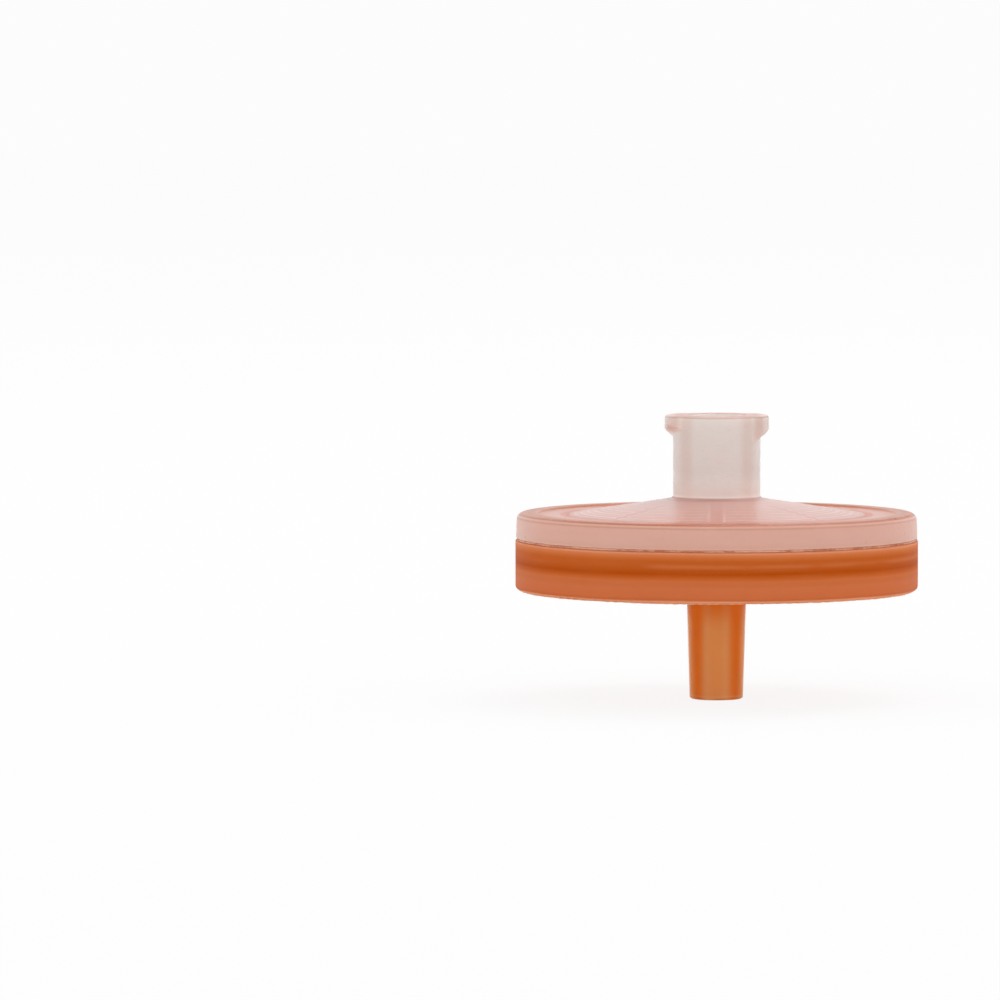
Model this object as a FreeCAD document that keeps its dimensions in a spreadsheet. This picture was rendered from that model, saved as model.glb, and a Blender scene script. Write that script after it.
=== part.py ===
# Syringe filter: a moulded inlet half with a female luer lock, a moulded outlet half with
# a male luer tip, and the membrane disc clamped between them. Millimetres, Z up along the
# flow axis, with the origin at the centre of the outlet tip's end face.
import FreeCAD, Part
import math
import os
import Sketcher

doc = FreeCAD.newDocument("SyringeFilter")

# ---- driving sizes -------------------------------------------------------------------

sizes = [
    # the disc, from its underside up
    ("tipLength", 8.1, "outlet tip, from its end to the disc's underside"),
    ("cupHeight", 3.8, "outlet half's outer wall, underside to weld seam"),
    ("capHeight", 1.95, "inlet half's outer wall, weld seam to rim top"),
    ("wallThickness", 1.35, "outlet half's outer wall"),
    ("capInset", 0.05, "how far the inlet half's wall stands inside the outlet half's"),
    ("capDraft", 0.07, "how much the inlet half's wall leans in towards the rim"),
    ("rimWidth", 1.48, "flat top of the rim, before its outer edge is rounded"),
    ("seamWidth", 0.22, "radial width of the chamfer on each side of the seam"),
    ("seamDepth", 0.13, "height of the chamfer on each side of the seam"),
    ("rimFillet", 0.5, "rounding of the rim's outer edge"),
    ("undersideFillet", 0.4, "rounding of the disc's lower edge"),
    # inside the outlet half
    ("floorThickness", 2.05, "disc's underside to the membrane seat"),
    ("membraneRoom", 1.1, "free width round the membrane, out to the outlet half's wall"),
    ("spigotClearance", 0.05, "radial gap between the spigot and the wall round it"),
    # the membrane and what clamps it
    ("membraneRadius", 12.5, "membrane disc"),
    ("membraneThickness", 0.2, "membrane disc"),
    ("clampInset", 0.1, "how far the clamp ring's outside lies within the membrane's edge"),
    ("clampWidth", 1.35, "radial width of the ring that presses on the membrane"),
    ("spigotRise", 0.4, "how far the spigot's end stands above the membrane"),
    # flow field: ribs on both halves, facing the membrane
    ("fieldMargin", 0.43, "annular channel between the field's wall and the outer rib"),
    ("wellRadius", 3.0, "open space round the flow axis, free of ribs"),
    ("ribPitch", 1.0, "from one rib to the next"),
    ("ribWidth", 0.55, "radial width of a rib"),
    ("ribHeight", 0.5, "depth of the channels between the ribs"),
    ("ribGap", 0.15, "from the inlet half's ribs to the membrane"),
    ("crossChannel", 1.1, "width of the four straight-sided channels"),
    ("diagonalChannel", 0.65, "width of the four channels with rounded rib ends"),
    # top of the inlet half
    ("landRecess", 0.13, "how far the flat land lies below the rim"),
    ("rimSlope", 0.15, "radial width of the slope from the land up to the rim"),
    ("coneInset", 0.05, "how far the cone's foot lies within the flow field's wall"),
    ("coneRise", 1.24, "from the land to the top of the cone"),
    # luer fittings, both with a 6 % taper on the diameter
    ("luerTaper", 0.06, "change of diameter with length"),
    ("mouthRadius", 2.15, "female luer bore at its mouth"),
    ("mouthChamfer", 0.12, "lead-in at the mouth of the bore"),
    ("boreDepth", 8.4, "depth of the tapered bore"),
    ("boreLedge", 0.318, "ledge at the floor of the bore, round the inlet hole"),
    ("hubHeight", 6.17, "from the top of the cone to the mouth"),
    ("hubWall", 1.12, "wall of the hub at the mouth"),
    ("hubDraft", 0.04, "how much narrower the hub's radius is where it meets the cone"),
    ("hubFillet", 0.3, "rounding between the hub and the cone"),
    ("mouthFillet", 0.25, "rounding of the outer edge at the mouth"),
    ("tipEndRadius", 1.98, "male luer tip at its end"),
    ("tipEndFillet", 0.2, "rounding of the tip's end"),
    ("tipRootFillet", 0.15, "rounding between the tip and the disc"),
    ("lumenRadius", 0.8, "bore of the outlet tip"),
    ("lumenFunnel", 0.4, "chamfer where the flow field drains into the lumen"),
    # the two lugs of the luer lock
    ("lugReach", 0.61, "how far a lug's crest stands out from the hub at the mouth"),
    ("lugHeight", 1.03, "height of the crest at the middle of a lug"),
    ("lugFlank", 0.5, "how much lower the lug's underside is at its root"),
    ("lugLead", 5.0, "rise of the lug's underside over a full turn"),
    ("lugFillet", 0.25, "rounding of a lug's edges, at its crest and its root"),
    ("lugBuried", 0.45, "how far the lug's root reaches into the hub wall"),
    ("shortCrestAngle", 28.0, "crest's end on a lug's short side, degrees from its middle"),
    ("shortRootAngle", 49.0, "root's end on a lug's short side, degrees"),
    ("longCrestAngle", 44.0, "crest's end on a lug's long side, degrees"),
    ("longRootAngle", 64.0, "root's end on a lug's long side, degrees"),
]

sheet = doc.addObject("Spreadsheet::Sheet", "Sizes")
for row, (alias, value, meaning) in enumerate(sizes, start=1):
    sheet.set(f"A{row}", alias)
    sheet.set(f"B{row}", str(value))
    sheet.set(f"C{row}", meaning)
    sheet.setAlias(f"B{row}", alias)
doc.recompute()

# ---- levels and radii worked out from them, as expressions on the sheet ----------------

underside = "Sizes.tipLength"
seat = f"{underside} + Sizes.floorThickness"
drainFloor = f"{seat} - Sizes.ribHeight"
funnelFoot = f"{drainFloor} - Sizes.lumenFunnel"
membraneTop = f"{seat} + Sizes.membraneThickness"
spigotEnd = f"{membraneTop} + Sizes.spigotRise"
ribTips = f"{membraneTop} + Sizes.ribGap"
fieldRoof = f"{ribTips} + Sizes.ribHeight"
seam = f"{underside} + Sizes.cupHeight"
rimTop = f"{seam} + Sizes.capHeight"
landTop = f"{rimTop} - Sizes.landRecess"
coneTop = f"{landTop} + Sizes.coneRise"
mouth = f"{coneTop} + Sizes.hubHeight"
boreFloor = f"{mouth} - Sizes.boreDepth"

cupBoreRadius = "Sizes.membraneRadius + Sizes.membraneRoom"
discRadius = f"{cupBoreRadius} + Sizes.wallThickness"
capRadius = f"{discRadius} - Sizes.capInset"
capTopRadius = f"{capRadius} - Sizes.capDraft"
slopeRadius = f"{capTopRadius} - Sizes.rimWidth"
landRadius = f"{slopeRadius} - Sizes.rimSlope"
spigotRadius = f"{cupBoreRadius} - Sizes.spigotClearance"
clampRadius = "Sizes.membraneRadius - Sizes.clampInset"
fieldRadius = f"{clampRadius} - Sizes.clampWidth"
outerRib = f"{fieldRadius} - Sizes.fieldMargin"
coneRadius = f"{fieldRadius} - Sizes.coneInset"
boreFloorRadius = "Sizes.mouthRadius - Sizes.boreDepth * Sizes.luerTaper / 2"
inletHoleRadius = f"{boreFloorRadius} - Sizes.boreLedge"
hubMouthRadius = "Sizes.mouthRadius + Sizes.hubWall"
hubBaseRadius = f"{hubMouthRadius} - Sizes.hubDraft"
lugRadius = f"{hubMouthRadius} + Sizes.lugReach"
lugRootRadius = f"{hubMouthRadius} - Sizes.lugBuried"
cutterRadius = f"2 * ({lugRadius})"  # clears the lugs all round
lugThinEnd = "(Sizes.lugHeight - Sizes.lugLead * Sizes.shortCrestAngle / 360)"
mouthRound = f"min(Sizes.mouthFillet; 0.39 * {lugThinEnd})"  # room for both roundings there
tipRootRadius = "Sizes.tipEndRadius + Sizes.tipLength * Sizes.luerTaper / 2"
funnelRadius = "Sizes.lumenRadius + Sizes.lumenFunnel"


tolerance = 1e-4  # two ends of an edge this near a radius or a level lie on it


def worth(expression):
    """The present value of an expression on the sheet."""
    return float(sheet.evalExpression(expression))


# ---- helpers -----------------------------------------------------------------------------


def newBody(label):
    body = doc.addObject("PartDesign::Body", label)
    body.Label = label
    return body


def originFeature(body, role):
    for feature in body.Origin.OriginFeatures:
        if feature.Role == role:
            return feature
    raise ValueError(role)


def newSketch(body, name, plane, height=None):
    """A sketch on one of the body's origin planes, lifted along its normal."""
    sketch = body.newObject("Sketcher::SketchObject", name)
    sketch.AttachmentSupport = (originFeature(body, plane), [""])
    sketch.MapMode = "FlatFace"
    if height is not None:
        sketch.setExpression(".AttachmentOffset.Base.z", height)
    return sketch


def drive(sketch, constraint, name, expression):
    """Adds a dimension to the sketch and binds it to an expression."""
    number = sketch.addConstraint(constraint)
    sketch.renameConstraint(number, name)
    sketch.setExpression(f"Constraints.{name}", expression)


def closedOutline(sketch, corners):
    """Joins corners, each a pair of expressions (across, up), into a closed outline."""
    points = [FreeCAD.Vector(worth(across), worth(up), 0) for across, up in corners]
    last = len(points) - 1
    for number, point in enumerate(points):
        following = points[0] if number == last else points[number + 1]
        sketch.addGeometry(Part.LineSegment(point, following), False)
    for number in range(len(points)):
        following = 0 if number == last else number + 1
        sketch.addConstraint(Sketcher.Constraint("Coincident", number, 2, following, 1))
    for number, (across, up) in enumerate(corners):
        out = Sketcher.Constraint("DistanceX", -1, 1, number, 1, worth(across))
        drive(sketch, out, f"across{number}", across)
        if up == "0":
            sketch.addConstraint(Sketcher.Constraint("PointOnObject", number, 1, -1))
        else:
            rise = Sketcher.Constraint("DistanceY", -1, 1, number, 1, worth(up))
            drive(sketch, rise, f"up{number}", up)


def revolveOutline(body, name, corners):
    """Turns a closed outline in the XZ plane once round the flow axis."""
    sketch = newSketch(body, f"{name}Profile", "XZ_Plane")
    closedOutline(sketch, corners)
    turned = body.newObject("PartDesign::Revolution", name)
    turned.Profile = sketch
    turned.ReferenceAxis = (sketch, ["V_Axis"])
    turned.Angle = 360
    doc.recompute()
    return turned


def edgesWhere(feature, test):
    """Names of the feature's edges that pass a test on their ends' (radius, height)."""
    names = []
    for number, edge in enumerate(feature.Shape.Edges, start=1):
        if test([(math.hypot(v.X, v.Y), v.Z) for v in edge.Vertexes]):
            names.append(f"Edge{number}")
    return names


def same(one, other):
    return abs(one - other) < tolerance


def circleAt(radius, height):
    """A test for edgesWhere: the circle at this radius and height."""

    def test(ends):
        return all(same(r, worth(radius)) and same(z, worth(height)) for r, z in ends)

    return test


def roundEdges(body, name, base, test, radius):
    fillet = body.newObject("PartDesign::Fillet", name)
    fillet.Base = (base, edgesWhere(base, test))
    fillet.setExpression("Radius", radius)
    doc.recompute()
    return fillet


def bevelEdges(body, name, base, test, size):
    chamfer = body.newObject("PartDesign::Chamfer", name)
    chamfer.Base = (base, edgesWhere(base, test))
    chamfer.setExpression("Size", size)
    doc.recompute()
    return chamfer


# ---- the ribs of a flow field ------------------------------------------------------------


def ribLoop(sketch, number, diagonal):
    """One rib of the 45 degree sector between a straight-sided channel along X and the
    diagonal channel: two arcs round the flow axis, a straight end and a rounded end."""
    outer = f"{outerRib} - {number} * Sizes.ribPitch"
    inner = f"{outer} - Sizes.ribWidth"
    outerRadius, innerRadius = worth(outer), worth(inner)
    middle = (outerRadius + innerRadius) / 2
    half = worth("Sizes.crossChannel / 2")
    endRadius = worth("Sizes.ribWidth / 2")
    toDiagonal = "Sizes.diagonalChannel / 2 + Sizes.ribWidth / 2"
    turn = math.pi / 4 - math.asin(worth(toDiagonal) / middle)
    centre = FreeCAD.Vector(0, 0, 0)
    up = FreeCAD.Vector(0, 0, 1)
    endCentre = FreeCAD.Vector(middle * math.cos(turn), middle * math.sin(turn), 0)

    outerCircle = Part.Circle(centre, up, outerRadius)
    innerCircle = Part.Circle(centre, up, innerRadius)
    outerStart = math.asin(half / outerRadius)
    innerStart = math.asin(half / innerRadius)
    straightFoot = innerCircle.value(innerStart)
    straightHead = outerCircle.value(outerStart)
    outerArc, innerArc, straight, roundEnd = sketch.addGeometry(
        [
            Part.ArcOfCircle(outerCircle, outerStart, turn),
            Part.ArcOfCircle(innerCircle, innerStart, turn),
            Part.LineSegment(straightFoot, straightHead),
            Part.ArcOfCircle(Part.Circle(endCentre, up, endRadius), turn, turn + math.pi),
        ],
        False,
    )
    for constraint in (
        Sketcher.Constraint("Coincident", outerArc, 3, -1, 1),
        Sketcher.Constraint("Coincident", innerArc, 3, -1, 1),
        Sketcher.Constraint("Coincident", straight, 1, innerArc, 1),
        Sketcher.Constraint("Coincident", straight, 2, outerArc, 1),
        Sketcher.Constraint("Horizontal", straight),
        Sketcher.Constraint("Tangent", outerArc, 2, roundEnd, 1),
        Sketcher.Constraint("Tangent", innerArc, 2, roundEnd, 2),
    ):
        sketch.addConstraint(constraint)
    drive(sketch, Sketcher.Constraint("Radius", outerArc, outerRadius), f"outer{number}", outer)
    drive(sketch, Sketcher.Constraint("Radius", innerArc, innerRadius), f"inner{number}", inner)
    offset = Sketcher.Constraint("DistanceY", -1, 1, straight, 1, half)
    drive(sketch, offset, f"straight{number}", "Sizes.crossChannel / 2")
    gap = Sketcher.Constraint("Distance", roundEnd, 3, diagonal, worth(toDiagonal))
    drive(sketch, gap, f"round{number}", toDiagonal)


def addRibs(body, floor, downwards):
    """Ribs in all eight sectors of a flow field, standing on the level called floor."""
    sketch = newSketch(body, "ribOutlines", "XY_Plane", floor)
    reach = worth(fieldRadius)
    far = FreeCAD.Vector(reach, reach, 0)
    diagonal = sketch.addGeometry(Part.LineSegment(FreeCAD.Vector(0, 0, 0), far), True)
    sketch.addConstraint(Sketcher.Constraint("Coincident", diagonal, 1, -1, 1))
    sketch.addConstraint(Sketcher.Constraint("Angle", diagonal, math.pi / 4))
    length = Sketcher.Constraint("DistanceX", -1, 1, diagonal, 2, reach)
    drive(sketch, length, "diagonalReach", fieldRadius)
    room = worth(f"{outerRib} - Sizes.wellRadius - Sizes.ribWidth")
    for number in range(int(room / worth("Sizes.ribPitch")) + 1):
        ribLoop(sketch, number, diagonal)

    ribs = body.newObject("PartDesign::Pad", "ribSector")
    ribs.Profile = sketch
    ribs.Reversed = downwards
    ribs.setExpression("Length", "Sizes.ribHeight")
    doc.recompute()

    allRibs = body.newObject("PartDesign::MultiTransform", "allRibs")
    mirrored = doc.addObject("PartDesign::Mirrored", "ribMirror")
    mirrored.MirrorPlane = (originFeature(body, "XZ_Plane"), [""])
    turned = doc.addObject("PartDesign::PolarPattern", "ribPattern")
    turned.Axis = (originFeature(body, "Z_Axis"), [""])
    turned.Angle = 360
    turned.Occurrences = 4
    body.Group = body.Group + [mirrored, turned]
    allRibs.Originals = [ribs]
    allRibs.Transformations = [mirrored, turned]
    body.Tip = allRibs
    doc.recompute()
    return allRibs


# ---- inlet half ----------------------------------------------------------------------------


def arcRoundAxis(sketch, radius, startAngle, endAngle):
    """An arc centred on the flow axis; the angles are in degrees."""
    circle = Part.Circle(FreeCAD.Vector(0, 0, 0), FreeCAD.Vector(0, 0, 1), radius)
    arc = Part.ArcOfCircle(circle, math.radians(startAngle), math.radians(endAngle))
    number = sketch.addGeometry(arc, False)
    sketch.addConstraint(Sketcher.Constraint("Coincident", number, 3, -1, 1))
    return number


def circleRoundAxis(sketch, name, radius):
    """A whole circle centred on the flow axis, its radius an expression."""
    circle = Part.Circle(FreeCAD.Vector(0, 0, 0), FreeCAD.Vector(0, 0, 1), worth(radius))
    number = sketch.addGeometry(circle, False)
    sketch.addConstraint(Sketcher.Constraint("Coincident", number, 3, -1, 1))
    drive(sketch, Sketcher.Constraint("Radius", number, worth(radius)), name, radius)


def lugOutline(body):
    """Sketch of what is cut away round the lugs: a disc with a hole in it, and the hole is
    two crest arcs, the four slanted ends and two arcs buried in the hub wall."""
    sketch = newSketch(body, "lugOutline", "XY_Plane", mouth)
    halfTurn, fullTurn = 180, 360
    shortCrest, longCrest = "Sizes.shortCrestAngle", "Sizes.longCrestAngle"
    shortRoot, longRoot = "Sizes.shortRootAngle", "Sizes.longRootAngle"
    # anticlockwise from the front end of the first lug: radius, then where each arc starts
    # and ends, as a size and the degrees that it stands for
    arcs = [
        (lugRadius, (shortCrest, -worth(shortCrest)), (longCrest, worth(longCrest))),
        (lugRootRadius, (longRoot, worth(longRoot)), (longRoot, halfTurn - worth(longRoot))),
        (
            lugRadius,
            (longCrest, halfTurn - worth(longCrest)),
            (shortCrest, halfTurn + worth(shortCrest)),
        ),
        (
            lugRootRadius,
            (shortRoot, halfTurn + worth(shortRoot)),
            (shortRoot, fullTurn - worth(shortRoot)),
        ),
    ]
    numbers = []
    for place, (radius, start, end) in enumerate(arcs):
        number = arcRoundAxis(sketch, worth(radius), start[1], end[1])
        numbers.append(number)
        drive(sketch, Sketcher.Constraint("Radius", number, worth(radius)), f"bend{place}", radius)
        for point, (name, angle) in ((1, start), (2, end)):
            # the angle's sine alone is bound: the drawn arc settles the side it lies on
            side = 1 if math.sin(math.radians(angle)) > 0 else -1
            height = f"{side} * ({radius}) * sin({name} * 1 deg)"
            reach = Sketcher.Constraint("DistanceY", -1, 1, number, point, worth(height))
            drive(sketch, reach, f"reach{place}{'start' if point == 1 else 'end'}", height)
    for place, number in enumerate(numbers):
        following = numbers[(place + 1) % len(numbers)]
        here, there = sketch.getPoint(number, 2), sketch.getPoint(following, 1)
        slant = sketch.addGeometry(Part.LineSegment(here, there), False)
        sketch.addConstraint(Sketcher.Constraint("Coincident", number, 2, slant, 1))
        sketch.addConstraint(Sketcher.Constraint("Coincident", slant, 2, following, 1))
    circleRoundAxis(sketch, "around", cutterRadius)
    return sketch


def cutFromMouth(body, name, sketch, upwards):
    """Cuts a sketch that lies level with the mouth through the lugs, up or down."""
    cut = body.newObject("PartDesign::Pocket", name)
    cut.Profile = sketch
    cut.Reversed = upwards
    cut.setExpression("Length", "Sizes.lugLead + 2 * Sizes.lugHeight")
    doc.recompute()
    return cut


def addLugs(body):
    """Two luer lock lugs: a thread of trapezoid section, cut level with the mouth and
    trimmed to an outline with slanted ends. The section turns round the flow axis by the
    long root's angle on both sides of the lug's middle, so that it fills either outline."""
    foot = f"{mouth} - Sizes.lugHeight - Sizes.lugLead * Sizes.longRootAngle / 360"
    head = f"{mouth} + Sizes.lugHeight"
    crestToRoot = "(Sizes.lugReach + Sizes.lugBuried)"
    slope = "Sizes.lugFlank / Sizes.lugReach"
    sketch = newSketch(body, "lugSection", "XZ_Plane")
    quarter = FreeCAD.Rotation(FreeCAD.Vector(0, 1, 0), 90)
    sketch.AttachmentOffset = FreeCAD.Placement(FreeCAD.Vector(0, 0, 0), quarter)
    sketch.setExpression(".AttachmentOffset.Rotation.Angle", "-Sizes.longRootAngle * 1 deg")
    closedOutline(
        sketch,
        [
            (lugRootRadius, f"{foot} - {crestToRoot} * {slope}"),
            (lugRadius, foot),
            (lugRadius, head),
            (lugRootRadius, head),
        ],
    )
    lug = body.newObject("PartDesign::AdditiveHelix", "lugThread")
    lug.Profile = sketch
    lug.ReferenceAxis = (sketch, ["V_Axis"])
    lug.Mode = "pitch-turns-angle"
    lug.setExpression("Pitch", "Sizes.lugLead")
    lug.setExpression("Turns", "2 * Sizes.longRootAngle / 360")
    doc.recompute()

    pair = body.newObject("PartDesign::PolarPattern", "lugPair")
    pair.Originals = [lug]
    pair.Axis = (originFeature(body, "Z_Axis"), [""])
    pair.Angle = 360
    pair.Occurrences = 2
    body.Tip = pair
    doc.recompute()

    cover = newSketch(body, "mouthCover", "XY_Plane", mouth)
    circleRoundAxis(cover, "reach", cutterRadius)
    cutFromMouth(body, "mouthLevel", cover, True)
    return cutFromMouth(body, "lugEnds", lugOutline(body), False)


def onMouthRim(ends):
    """A test for edgesWhere: the outer edge at the mouth, round hub and lugs."""
    inner = worth("Sizes.mouthRadius")
    return all(same(z, worth(mouth)) and r > inner + tolerance for r, z in ends)


def onLug(ends):
    """A test for edgesWhere: an edge of a lug, at its crest or its root, below the rim."""
    lowest = worth(f"{mouth} - Sizes.lugHeight - Sizes.lugFlank - Sizes.lugLead / 4")
    crest, root = worth(lugRadius), worth(hubMouthRadius)
    slack = worth("Sizes.hubDraft") + tolerance
    if len(ends) < 2 or onMouthRim(ends) or any(z < lowest for r, z in ends):
        return False
    atCrest = all(same(r, crest) for r, z in ends)
    atRoot = all(abs(r - root) < slack for r, z in ends)
    return atCrest or atRoot


def buildInlet():
    body = newBody("inlet_housing")
    addLugs(body)
    turned = revolveOutline(
        body,
        "inletTurned",
        [
            ("Sizes.mouthRadius", mouth),
            (hubMouthRadius, mouth),
            (hubBaseRadius, coneTop),
            (coneRadius, landTop),
            (landRadius, landTop),
            (slopeRadius, rimTop),
            (capTopRadius, rimTop),
            (capRadius, f"{seam} + Sizes.seamDepth"),
            (f"{capRadius} - Sizes.seamWidth", seam),
            (spigotRadius, seam),
            (spigotRadius, spigotEnd),
            (clampRadius, spigotEnd),
            (clampRadius, membraneTop),
            (fieldRadius, membraneTop),
            (fieldRadius, fieldRoof),
            (inletHoleRadius, fieldRoof),
            (inletHoleRadius, boreFloor),
            (boreFloorRadius, boreFloor),
        ],
    )
    hubFoot = circleAt(hubBaseRadius, coneTop)
    shape = roundEdges(body, "hubRounding", turned, hubFoot, "Sizes.hubFillet")
    rimEdge = circleAt(capTopRadius, rimTop)
    shape = roundEdges(body, "rimRounding", shape, rimEdge, "Sizes.rimFillet")
    shape = roundEdges(body, "lugRounding", shape, onLug, "Sizes.lugFillet")
    shape = roundEdges(body, "mouthRounding", shape, onMouthRim, mouthRound)
    boreEdge = circleAt("Sizes.mouthRadius", mouth)
    shape = bevelEdges(body, "mouthLeadIn", shape, boreEdge, "Sizes.mouthChamfer")
    addRibs(body, fieldRoof, True)
    return body


def buildMembrane():
    body = newBody("filter_membrane")
    sketch = newSketch(body, "membraneOutline", "XY_Plane", seat)
    circleRoundAxis(sketch, "edge", "Sizes.membraneRadius")
    disc = body.newObject("PartDesign::Pad", "membraneDisc")
    disc.Profile = sketch
    disc.setExpression("Length", "Sizes.membraneThickness")
    doc.recompute()
    return body


def buildOutlet():
    body = newBody("outlet_housing")
    turned = revolveOutline(
        body,
        "outletTurned",
        [
            ("Sizes.lumenRadius", "0"),
            ("Sizes.tipEndRadius", "0"),
            (tipRootRadius, underside),
            (discRadius, underside),
            (discRadius, f"{seam} - Sizes.seamDepth"),
            (f"{discRadius} - Sizes.seamWidth", seam),
            (cupBoreRadius, seam),
            (cupBoreRadius, seat),
            (fieldRadius, seat),
            (fieldRadius, drainFloor),
            (funnelRadius, drainFloor),
            ("Sizes.lumenRadius", funnelFoot),
        ],
    )
    tipEnd = circleAt("Sizes.tipEndRadius", "0")
    shape = roundEdges(body, "tipRounding", turned, tipEnd, "Sizes.tipEndFillet")
    tipRoot = circleAt(tipRootRadius, underside)
    shape = roundEdges(body, "rootRounding", shape, tipRoot, "Sizes.tipRootFillet")
    lowerEdge = circleAt(discRadius, underside)
    roundEdges(body, "undersideRounding", shape, lowerEdge, "Sizes.undersideFillet")
    addRibs(body, drainFloor, False)
    return body


pieces = [buildInlet(), buildMembrane(), buildOutlet()]
doc.recompute()

# ---- checks and files ----------------------------------------------------------------------

for item in doc.Objects:
    if "Invalid" in item.State or "Error" in item.State:
        raise RuntimeError(f"{item.Label} failed: {item.State}")
for piece in pieces:
    if piece.Shape.isNull() or not piece.Shape.isValid() or len(piece.Shape.Solids) != 1:
        raise RuntimeError(f"{piece.Label} is not one valid solid")

os.makedirs("parts", exist_ok=True)
for piece in pieces:
    piece.Shape.exportStep(f"parts/{piece.Label}.step")
    print(f"{piece.Label}: {piece.Shape.Volume:.1f} mm3")
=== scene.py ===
import math

import bpy
import numpy as np
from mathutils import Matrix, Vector


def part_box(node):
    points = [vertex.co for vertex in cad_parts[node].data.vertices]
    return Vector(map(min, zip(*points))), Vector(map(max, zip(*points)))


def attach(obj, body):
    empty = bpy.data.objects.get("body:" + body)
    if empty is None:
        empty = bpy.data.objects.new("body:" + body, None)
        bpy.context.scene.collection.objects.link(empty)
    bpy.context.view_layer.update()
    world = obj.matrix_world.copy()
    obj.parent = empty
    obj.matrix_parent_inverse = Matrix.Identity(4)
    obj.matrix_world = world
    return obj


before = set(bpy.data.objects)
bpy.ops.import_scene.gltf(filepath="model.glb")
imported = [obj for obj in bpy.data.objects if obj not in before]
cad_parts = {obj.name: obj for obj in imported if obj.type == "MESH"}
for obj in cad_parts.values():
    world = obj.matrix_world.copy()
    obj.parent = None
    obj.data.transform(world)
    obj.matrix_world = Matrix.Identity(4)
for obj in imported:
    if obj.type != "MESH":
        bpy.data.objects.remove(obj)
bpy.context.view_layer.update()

scene = bpy.context.scene
scene.view_settings.view_transform = "Standard"
mm = 0.001  # metres
print("frame loaded")


# Where the camera stands, what it looks at and how much it takes in.
cameraPlace = {
    "distance": 550 * mm,  # from the flow axis, towards the front
    "height": 47.6 * mm,  # above the floor, which gives a view from slightly above
    "aim": (-16.1 * mm, 0.0, 14.75 * mm),  # beside the part, which stands right of the middle
    "frameWidth": 74.35 * mm,  # what the frame takes in at the part's distance
    "sensor": 36.0,  # width of the camera's sensor, millimetres
    "clip": (0.01, 20.0),  # from where to where the camera sees, metres
}


def makeCamera(place):
    data = bpy.data.cameras.new("camera")
    camera = bpy.data.objects.new("camera", data)
    scene.collection.objects.link(camera)
    camera.location = (0.0, -place["distance"], place["height"])
    sight = Vector(place["aim"]) - camera.location
    camera.rotation_mode = "QUATERNION"
    camera.rotation_quaternion = sight.to_track_quat("-Z", "Y")
    data.sensor_width = place["sensor"]
    data.lens = place["sensor"] * sight.length / place["frameWidth"]
    data.clip_start, data.clip_end = place["clip"]
    scene.camera = camera


makeCamera(cameraPlace)


class Wire:
    # one socket of a node; each operator used on it adds the Math node that works it out
    def __init__(self, graph, socket):
        self.graph, self.socket = graph, socket

    def math(self, operation, *values, clamp=False):
        return self.graph.math(operation, *values, clamp=clamp)

    def __add__(self, other):
        return self.math("ADD", self, other)

    def __radd__(self, other):
        return self.math("ADD", other, self)

    def __sub__(self, other):
        return self.math("SUBTRACT", self, other)

    def __rsub__(self, other):
        return self.math("SUBTRACT", other, self)

    def __mul__(self, other):
        return self.math("MULTIPLY", self, other)

    def __rmul__(self, other):
        return self.math("MULTIPLY", other, self)

    def __truediv__(self, other):
        return self.math("DIVIDE", self, other)

    def __rtruediv__(self, other):
        return self.math("DIVIDE", other, self)

    def __pow__(self, other):
        return self.math("POWER", self, other)

    def __rpow__(self, other):
        return self.math("POWER", other, self)

    def clamped(self):
        return self.math("ADD", self, 0.0, clamp=True)

    # 0 below low, 1 above high, smooth between; the other way round where low is the greater
    def step(self, low, high):
        settings = {"interpolation_type": "SMOOTHSTEP"}
        return self.graph.add("ShaderNodeMapRange", settings, [self, low, high, 0.0, 1.0])

    # 1 between low and high, 0 outside, fading within an edge's width of each
    def band(self, low, high, edge):
        return self.step(low - edge, low + edge) * (1 - self.step(high - edge, high + edge))


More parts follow.
